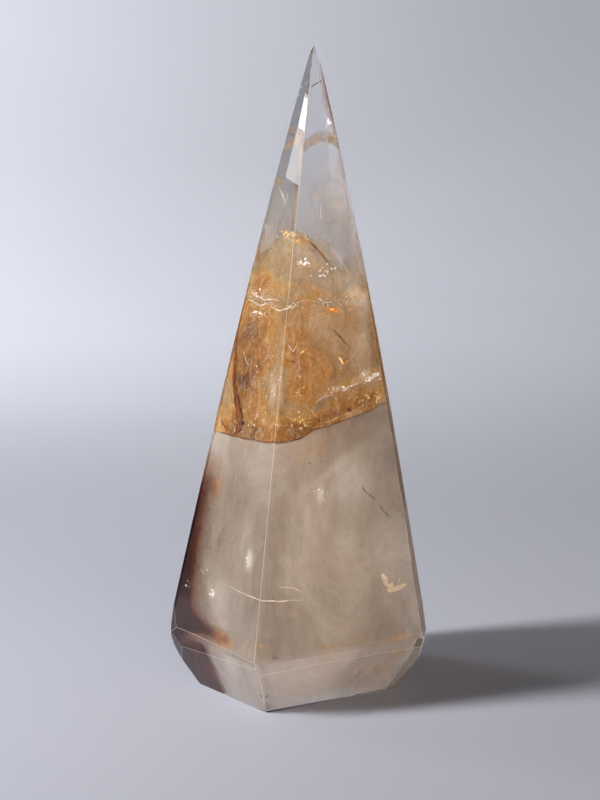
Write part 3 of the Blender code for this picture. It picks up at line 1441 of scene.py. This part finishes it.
GOLD_THREADS = threads(
    (0.5, (0.54, 107.4, 0.2), (0.8, 106.9, 0.3), (1.08, 106.6, 0.3), (1.24, 105.2, 0.2)),
    (0.5, (1.24, 105.0, 0.2), (1.4, 103.2, 0.3), (1.54, 101.0, 0.2)),
    (0.5, (1.1, 66.8, 0.2), (1.2, 65.5, 0.6), (1.3, 64.0, 0.4)),
    (0.5, (1.05, 67.2, 0.2), (1.18, 66.2, 0.4), (1.27, 65.0, 0.2)),
    (0.6, (1.35, 64.8, 0.2), (1.6, 66.4, 0.3), (1.9, 68.8, 0.2)),
    (0.5, (1.22, 69.0, 0.1), (1.3, 67.6, 0.4), (1.36, 66.0, 0.2)),
    (0.5, (0.9, 66.5, 0.1), (1.0, 65.5, 0.3), (1.1, 65.0, 0.1)),
    (0.5, (0.45, 65.5, 0.1), (0.58, 64.5, 0.4), (0.7, 64.0, 0.1)),
    (0.5, (1.14, 80.0, 0.1), (1.22, 81.2, 0.3), (1.3, 80.0, 0.1)),
    (0.6, (1.1, 88.0, 0.1), (1.3, 88.5, 0.3), (1.5, 89.5, 0.2)),
)
TIP_THREAD = threads(
    (0.3, (1.09, 139.0, 0.2), (1.45, 139.8, 0.3), (1.93, 140.8, 0.2)),
    share=0.93,
)
GREEN_THREADS = threads(
    (0.5, (1.69, 50.2, 0.3), (1.74, 48.0, 0.5), (1.78, 46.2, 0.4)),
    (0.5, (1.8, 45.2, 0.4), (1.85, 43.4, 0.6), (1.89, 42.0, 0.3)),
)


def fine_threads() -> list[Threads]:
    """The veins and cracks that are fine enough to be threads.

    Returns:
        One piece for each mineral.
    """
    return [
        Threads("rust_veins", RUST, RUST_VEINS),
        Threads("pearl_cracks", PEARL, PEARL_CRACKS, seed=3.0),
        Threads("gold_threads", GOLD_THREAD, GOLD_THREADS, seed=5.0),
        Threads("green_threads", GREEN, TIP_THREAD + GREEN_THREADS, seed=8.0),
    ]


# Single flakes and clouds of small ones. Where a mineral has a glint, its flakes glow with it, as
# painted glints.
PEARL_SINGLE = (
    (0.92, 130.7, 1.0, 0.4, 90, 0), (1.8, 131.3, 1.6, 0.8, 100, 0, 0.975),
    (1.88, 131.2, 0.8, 0.5, 60, 0, 0.975), (0.3, 88.9, 2.0, 0.4, 12, 0, 0.972),
    (0.42, 88.7, 1.6, 0.3, -10, 0, 0.972), (1.18, 100.4, 1.2, 0.8, 40, 0, 0.968),
)
PEARL_CLOUDS = (
    (1.145, 100.6, 1.6, 1.2, 12, 0.6, 0.965), (1.45, 98.5, 4.0, 1.6, 22, 0.4, 0.96),
    (0.34, 88.5, 3.2, 0.7, 18, 0.4, 0.965), (0.3, 92.8, 5.0, 1.4, 40, 0.4, 0.965),
    (0.7, 91.2, 6.0, 1.0, 30, 0.3, 0.965), (1.85, 91.5, 5.0, 2.6, 60, 0.4, 0.96),
    (1.45, 91.2, 6.0, 1.0, 30, 0.3, 0.965), (1.88, 74.2, 3.0, 1.0, 30, 0.6, 0.965),
    (1.6, 72.2, 5.0, 1.0, 30, 0.4, 0.965), (0.78, 74.5, 5.0, 6.0, 60, 0.4, 0.96),
    (0.45, 63.0, 3.0, 2.6, 30, 0.4, 0.96), (0.62, 66.0, 2.0, 1.4, 16, 0.4, 0.96),
    (0.82, 35.2, 2.0, 1.8, 16, 0.7, 0.96), (0.42, 25.0, 1.0, 1.0, 7, 0.6, 0.96),
    (0.26, 29.0, 2.0, 1.2, 12, 0.4, 0.96), (0.1, 25.5, 1.2, 1.2, 9, 0.4, 0.972),
    (1.38, 49.5, 1.2, 2.2, 14, 0.5, 0.96), (1.45, 26.5, 4.0, 3.0, 14, 0.3, 0.96),
    (0.2, 138.2, 1.6, 2.0, 8, 0.3, 0.96), (1.1, 80.0, 60.0, 20.0, 60, 0.3),
    (3.0, 80.0, 60.0, 30.0, 90, 0.4),
)
GOLD_SINGLE = (
    (1.59, 78.5, 2.6, 0.6, -60, 10, 0.968), (1.19, 81.0, 1.2, 0.4, 30, 5, 0.968),
)
GOLD_CLOUDS = (
    (0.78, 106.7, 1.6, 0.8, 16, 0.5, 0.965), (1.05, 105.8, 4.0, 1.0, 24, 0.4, 0.965),
    (1.6, 78.2, 1.0, 1.4, 10, 0.5, 0.965), (1.2, 66.2, 4.0, 2.6, 50, 0.5, 0.965),
    (1.18, 72.2, 2.0, 1.0, 14, 0.5, 0.965), (1.85, 69.5, 4.0, 2.2, 40, 0.4, 0.965),
    (0.45, 63.0, 8.0, 2.0, 30, 0.3, 0.965), (1.45, 12.8, 3.0, 0.5, 12, 0.5, 0.9),
    (1.3, 80.0, 8.0, 6.0, 26, 0.3, 0.965), (3.0, 75.0, 60.0, 15.0, 80, 0.4),
)
FIRE_SINGLE = (
    (1.53, 89.9, 1.7, 0.8, -15, 0, 0.966), (1.58, 89.4, 1.0, 0.6, 20, 0, 0.966),
)
FIRE_CLOUDS = (
    (1.53, 89.7, 1.6, 0.9, 14, 0.5, 0.967), (0.25, 74.5, 2.0, 3.0, 12, 0.3),
)
CREAM_SINGLE = (
    (1.8, 27.8, 4.0, 1.6, 110, 5, 0.962), (1.87, 25.6, 6.0, 1.5, 8, 5, 0.962),
    (1.83, 26.2, 2.6, 1.8, 60, 5, 0.962),
)
CREAM_CLOUDS = (
    (1.84, 26.2, 3.0, 2.0, 10, 0.7, 0.962),
)
GREEN_CLOUDS = (
    (1.655, 21.7, 0.8, 1.0, 5, 0.6, 0.962), (1.69, 16.6, 1.4, 0.6, 6, 0.6, 0.962),
    (0.33, 29.2, 0.5, 0.5, 4, 0.4, 0.962), (1.36, 56.2, 2.0, 0.6, 8, 0.7, 0.962),
)


def fine_flakes() -> list[Flakes]:
    """The bright flakes, and the clouds of small ones.

    Returns:
        One piece for each mineral.
    """
    return [
        Flakes("pearl_flakes", PEARL_FLAKE, 21, PEARL_SINGLE, PEARL_CLOUDS),
        Flakes("gold_flakes", GOLD_FLAKE, 34, GOLD_SINGLE, GOLD_CLOUDS),
        Flakes("fire_flakes", FIRE, 44, FIRE_SINGLE, FIRE_CLOUDS),
        Flakes("cream_flakes", CREAM, 55, CREAM_SINGLE, CREAM_CLOUDS),
        Flakes("green_flakes", GREEN, 89, clouds=GREEN_CLOUDS),
    ]


@dataclass(frozen=True)
class Lamp:
    """A soft rectangular lamp: its place, what it points at, its size, power, colour and fan."""

    name: str
    place: Place
    target: Place
    size: tuple[float, float]
    power: float
    colour: Colour
    fan: float = 180.0

    def hang(self) -> bpy.types.Object:
        """Hangs the lamp.

        Returns:
            The lamp.
        """
        light = bpy.data.lights.new(self.name, "AREA")
        light.shape = "RECTANGLE"
        light.size, light.size_y = self.size
        light.energy = self.power
        light.color = self.colour
        light.spread = math.radians(self.fan)
        lamp = bpy.data.objects.new(self.name, light)
        lamp.location = self.place
        aim = Vector(self.target) - Vector(self.place)
        lamp.rotation_euler = aim.to_track_quat("-Z", "Y").to_euler()
        lamp.visible_camera = False
        bpy.context.scene.collection.objects.link(lamp)
        return lamp


COOL, WARM, PLAIN = (0.93, 0.96, 1.0), (1.0, 0.90, 0.80), (0.95, 0.98, 1.0)
LAMPS = (
    Lamp("window", (-0.578, -0.160, 0.235), (0, 0, 0.05), (0.10, 0.38), 3.5, COOL, 90.0),
    Lamp("front_fill", (0.236, -0.508, 0.032), (0, 0, 0.060), (0.46, 0.050), 1.15, WARM, 60.0),
    Lamp("wall_wash", (-0.95, 0.60, 0.55), (-0.12, 1.05, 0.10), (0.30, 0.50), 9.2, PLAIN, 88.0),
    Lamp("far_floor", (-0.75, 0.45, 0.40), (-0.16, 0.46, 0.0), (0.30, 0.20), 1.85, PLAIN, 64.0),
    Lamp("front_wall", (0.1, -0.75, 0.75), (0.2, -1.40, 0.30), (0.60, 0.30), 3.0, PLAIN, 150.0),
    Lamp("right_wall", (0.75, 0.0, 0.75), (1.40, 0.0, 0.30), (0.30, 0.60), 1.6, PLAIN, 150.0),
    Lamp("tip_glint", (-0.9335, 0.232, 0.409), (0, 0, 0.13), (0.034, 0.030), 0.048, PLAIN),
    Lamp("tip_gleam", (-0.9400, 0.230, 0.386), (0, 0, 0.12), (0.046, 0.085), 0.092, PLAIN),
)


@dataclass
class Studio:
    """The plain floor and backdrop, the lights, the surroundings and the camera."""

    floor_reach: float = 1.40
    wall_curve: float = 1.00
    wall_height: float = 0.90
    bends: int = 12
    turns: int = 96
    room: Colour = (1.0, 0.93, 0.88)
    room_strength: float = 0.05
    look_down: float = 10.0
    look_distance: float = 0.400
    look_at: Place = (0.000285, 0.0, 0.067775)
    lens: float = 77.807
    sensor: float = 36.0
    bounces: int = 14
    glossy_bounces: int = 6
    sheets_deep: int = 40

    def stage(self) -> bpy.types.Object:
        """Makes a round floor that curves up into a low wall all the way round.

        Returns:
            The floor.
        """
        flat = self.floor_reach - self.wall_curve
        outline = [(0.0, 0.0), (0.2, 0.0), (flat, 0.0)]
        for step in range(1, self.bends + 1):
            turn = math.radians(90 * step / self.bends)
            reach = self.floor_reach - self.wall_curve * (1 - math.sin(turn))
            outline.append((reach, self.wall_curve * (1 - math.cos(turn))))
        outline.append((self.floor_reach, self.wall_height))
        card = bmesh.new()
        verts = [card.verts.new((reach, 0, height)) for reach, height in outline]
        edges = [card.edges.new(pair) for pair in zip(verts, verts[1:])]
        bmesh.ops.spin(
            card,
            geom=verts + edges,
            cent=(0, 0, 0),
            axis=(0, 0, 1),
            angle=math.radians(360),
            steps=self.turns,
            use_merge=True,
        )
        bmesh.ops.remove_doubles(card, verts=card.verts, dist=1e-6)
        bmesh.ops.recalc_face_normals(card, faces=card.faces)
        bmesh.ops.reverse_faces(card, faces=card.faces)
        mesh = mesh_of(card, "stage_card")
        mesh.shade_smooth()
        mesh.materials.append(StageFinish().material())
        floor = bpy.data.objects.new("stage_card", mesh)
        bpy.context.scene.collection.objects.link(floor)
        return floor

    def surroundings(self) -> None:
        """A dim warm room above the wall."""
        world = bpy.data.worlds.new("room")
        bpy.context.scene.world = world
        world.use_nodes = True
        background = world.node_tree.nodes["Background"]
        background.inputs["Color"].default_value = (*self.room, 1.0)
        background.inputs["Strength"].default_value = self.room_strength

    def camera(self) -> bpy.types.Object:
        """Sets the camera a little above the stone, looking slightly down at it.

        Returns:
            The camera.
        """
        down = math.radians(self.look_down)
        forward = Vector((0, math.cos(down), -math.sin(down)))
        data = bpy.data.cameras.new("camera")
        data.sensor_fit = "VERTICAL"
        data.sensor_height = self.sensor
        data.lens = self.lens
        data.clip_start = 0.01
        camera = bpy.data.objects.new("camera", data)
        camera.location = Vector(self.look_at) - MIDDLE - forward * self.look_distance
        camera.rotation_euler = forward.to_track_quat("-Z", "Y").to_euler()
        bpy.context.scene.collection.objects.link(camera)
        bpy.context.scene.camera = camera
        return camera

    def build(self) -> None:
        """Sets up the floor, the lights, the surroundings, the camera and the tracing of light."""
        self.stage()
        for lamp in LAMPS:
            lamp.hang()
        self.surroundings()
        self.camera()
        scene = bpy.context.scene
        scene.view_settings.view_transform = "Standard"
        scene.cycles.max_bounces = self.bounces
        scene.cycles.transmission_bounces = self.bounces
        scene.cycles.glossy_bounces = self.glossy_bounces
        scene.cycles.transparent_max_bounces = self.sheets_deep


def main() -> None:
    """Builds the stone, what lies inside it, and the studio, and logs each piece's face count."""
    logging.basicConfig(level=logging.INFO, format="%(name)s: %(message)s")
    noise.seed_set(NOISE_SEED)
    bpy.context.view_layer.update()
    sheets = [*haze_sheets(), *gold_sheets(), *upper_sheets()]
    for piece in [QuartzBody(), *sheets, *fine_threads(), *fine_flakes()]:
        made = piece.build()
        log.info("%s: %d faces", made.name, len(made.data.polygons))
    Studio().build()


if __name__ == "__main__":
    main()
